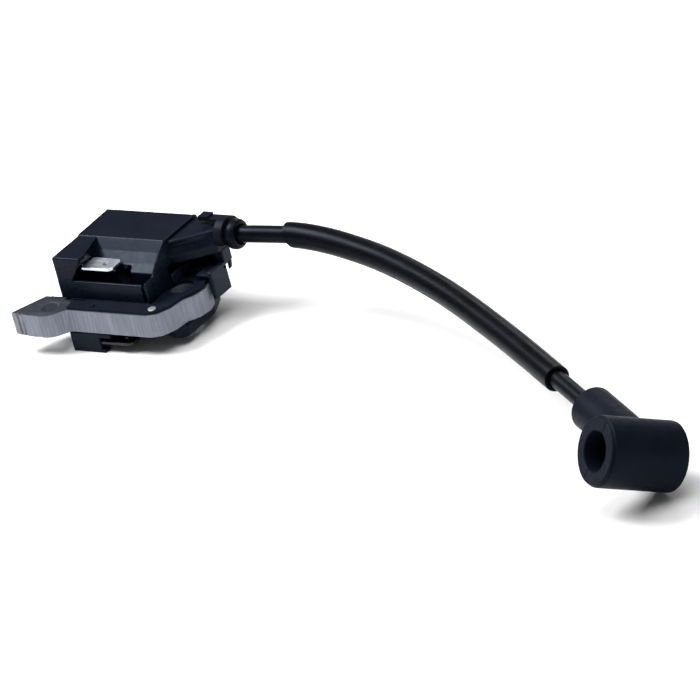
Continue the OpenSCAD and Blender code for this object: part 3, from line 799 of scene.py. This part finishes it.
def make_end_bracket():
    z = box_mm("base_flange")[0].z + 0.8
    blocks = [
        slab((34.1, 23.1, 1.9), (44.7, 27.2, 9.5), 0.2),
        slab((43.2, 19.6, 1.9), (44.7, 27.2, 10.3), 0.3),
        slab((39.2, 19.5, 8.7), (44, 23.4, 9.5), 0.2),
        slab((32.9, 15.9, z), (33.8, 31.2, 11.1), 0.3),
        slab((33.2, 23.1, z), (42.8, 31.2, 9.5), 0.2),
        slab((33.2, 30.2, 9), (42.8, 31.2, 13.5), 0.2),
        slab((41, 27.1, 9), (44.4, 31.2, 13.5), 0.3),
        prism("y", [(41.6, 10.9, 0.4), (42.6, 10.7, 0.4), (43.6, 8.2, 0.8), (43.2, 6.2, 0.6),
                    (42.4, 5.4, 0.1), (42.5, 7.6, 0.6), (41.6, 9.2, 0.3)], 30.4, 31.6, 0.2),
    ]
    bracket = combine(blocks[0], blocks[1:])
    mark = rod(40, 46, 26.2, 8.8, 0.45, 24)
    return piece("end_support", combine(bracket, [mark], "DIFFERENCE"), "end_bracket", angle=30)


def make_terminal_bracket():
    """The left bracket. Each block is a little inside the one before, so no faces share a plane."""
    lo, hi = box_mm("terminal_bracket")
    blocks = [
        slab((lo.x, lo.y, lo.z), (7.3, hi.y, hi.z), 0.25),
        slab((lo.x + 0.02, lo.y + 0.02, lo.z + 0.02), (15.9, 0.3, hi.z - 0.02), 0.25),
        slab((lo.x + 0.03, 5.9, lo.z + 0.03), (15.87, hi.y - 0.03, hi.z - 0.03), 0.25),
        slab((lo.x + 0.05, lo.y + 0.05, -1.3), (hi.x, hi.y - 0.05, hi.z - 0.05), 0.2),
        prism("y", [(14.6, -6.06, 0.3), (17.2, -6.06, 0.45), (17.2, -5.2, 0.4), (15.4, -5.2, 0.3),
                    (14.6, -4.4, 0.3)], lo.y + 0.04, 1.2, 0.2),
    ]
    bracket = combine(blocks[0], blocks[1:])
    opening = slab((14, -0.9, -3.6), (17.5, 5.6, -2.6), 0)
    return piece("terminal_holder", combine(bracket, [opening], "DIFFERENCE"), "terminal_bracket", angle=30)


def make_flange():
    return piece("seat_flange", softened("base_flange", 0.18), "base_flange", angle=30)


def make_blades():
    piece("stop_blade", softened("stop_tab", 0.14), "stop_tab")
    piece("ground_blade", softened("ground_tab", 0.14), "ground_tab")
    piece("earth_rivet", softened("ground_rivet", 0.12), "ground_rivet")
    piece("lead_retainer", softened("lead_clip", 0.22), "lead_clip")


# ---- studio ----
FLOOR_HALF = 3000


def make_studio():
    """A plain pale floor, a large soft key light, a top light, a weak rim light and a dim white world."""
    corners = [(x * FLOOR_HALF, y * FLOOR_HALF, 0) for x, y in ((-1, -1), (1, -1), (1, 1), (-1, 1))]
    floor = solid("floor", corners, [(0, 1, 2, 3)])
    floor.data.transform(Matrix.Translation((0, 0, cad_box[0][2])) @ Matrix.Scale(MM, 4))
    n = Nodes("floor_paint")
    tone = n.ramp(n.noise(0.004), [(0.3, (0.86, 0.86, 0.865)), (0.7, (0.88, 0.88, 0.88))])
    paint = n.surface(tone, n.spread(n.noise(0.02), 0.7, 0.8), n.bump(n.noise(0.5), 0.02))
    floor.data.materials.append(paint)
    for name, spot, aim, size, power in (
            ("key", (-0.60, -0.15, 1.0), (0.06, 0.0, 0.0), 0.6, 22),
            ("top", (0.35, -0.05, 1.3), (0.10, 0.0, 0.0), 1.0, 14),
            ("rim", (-0.2, 1.1, 0.7), (0.1, 0.0, 0.0), 0.6, 3)):
        data = bpy.data.lights.new(name, "AREA")
        data.energy = power
        data.size = size
        lamp = bpy.data.objects.new(name, data)
        lamp.location = spot
        lamp.rotation_euler = (Vector(aim) - Vector(spot)).to_track_quat("-Z", "Y").to_euler()
        bpy.context.scene.collection.objects.link(lamp)
    world = bpy.data.worlds.new("studio")
    world.use_nodes = True
    world.node_tree.nodes["Background"].inputs["Color"].default_value = (1, 1, 1, 1)
    world.node_tree.nodes["Background"].inputs["Strength"].default_value = 0.16
    bpy.context.scene.world = world
    bpy.context.scene.view_settings.view_transform = "Standard"


make_camera()
lead = make_lead()
sleeve = make_sleeve()
boot = make_boot()
make_grommet()
make_core()
make_housing()
make_case()
make_end_bracket()
make_terminal_bracket()
make_flange()
make_blades()
make_studio()

# the parts inside keep their CAD shapes
for name, obj in nodes.items():
    if not obj.hide_render:
        obj.data.materials.clear()
        obj.data.materials.append(MATERIALS[SLOTS[name]])
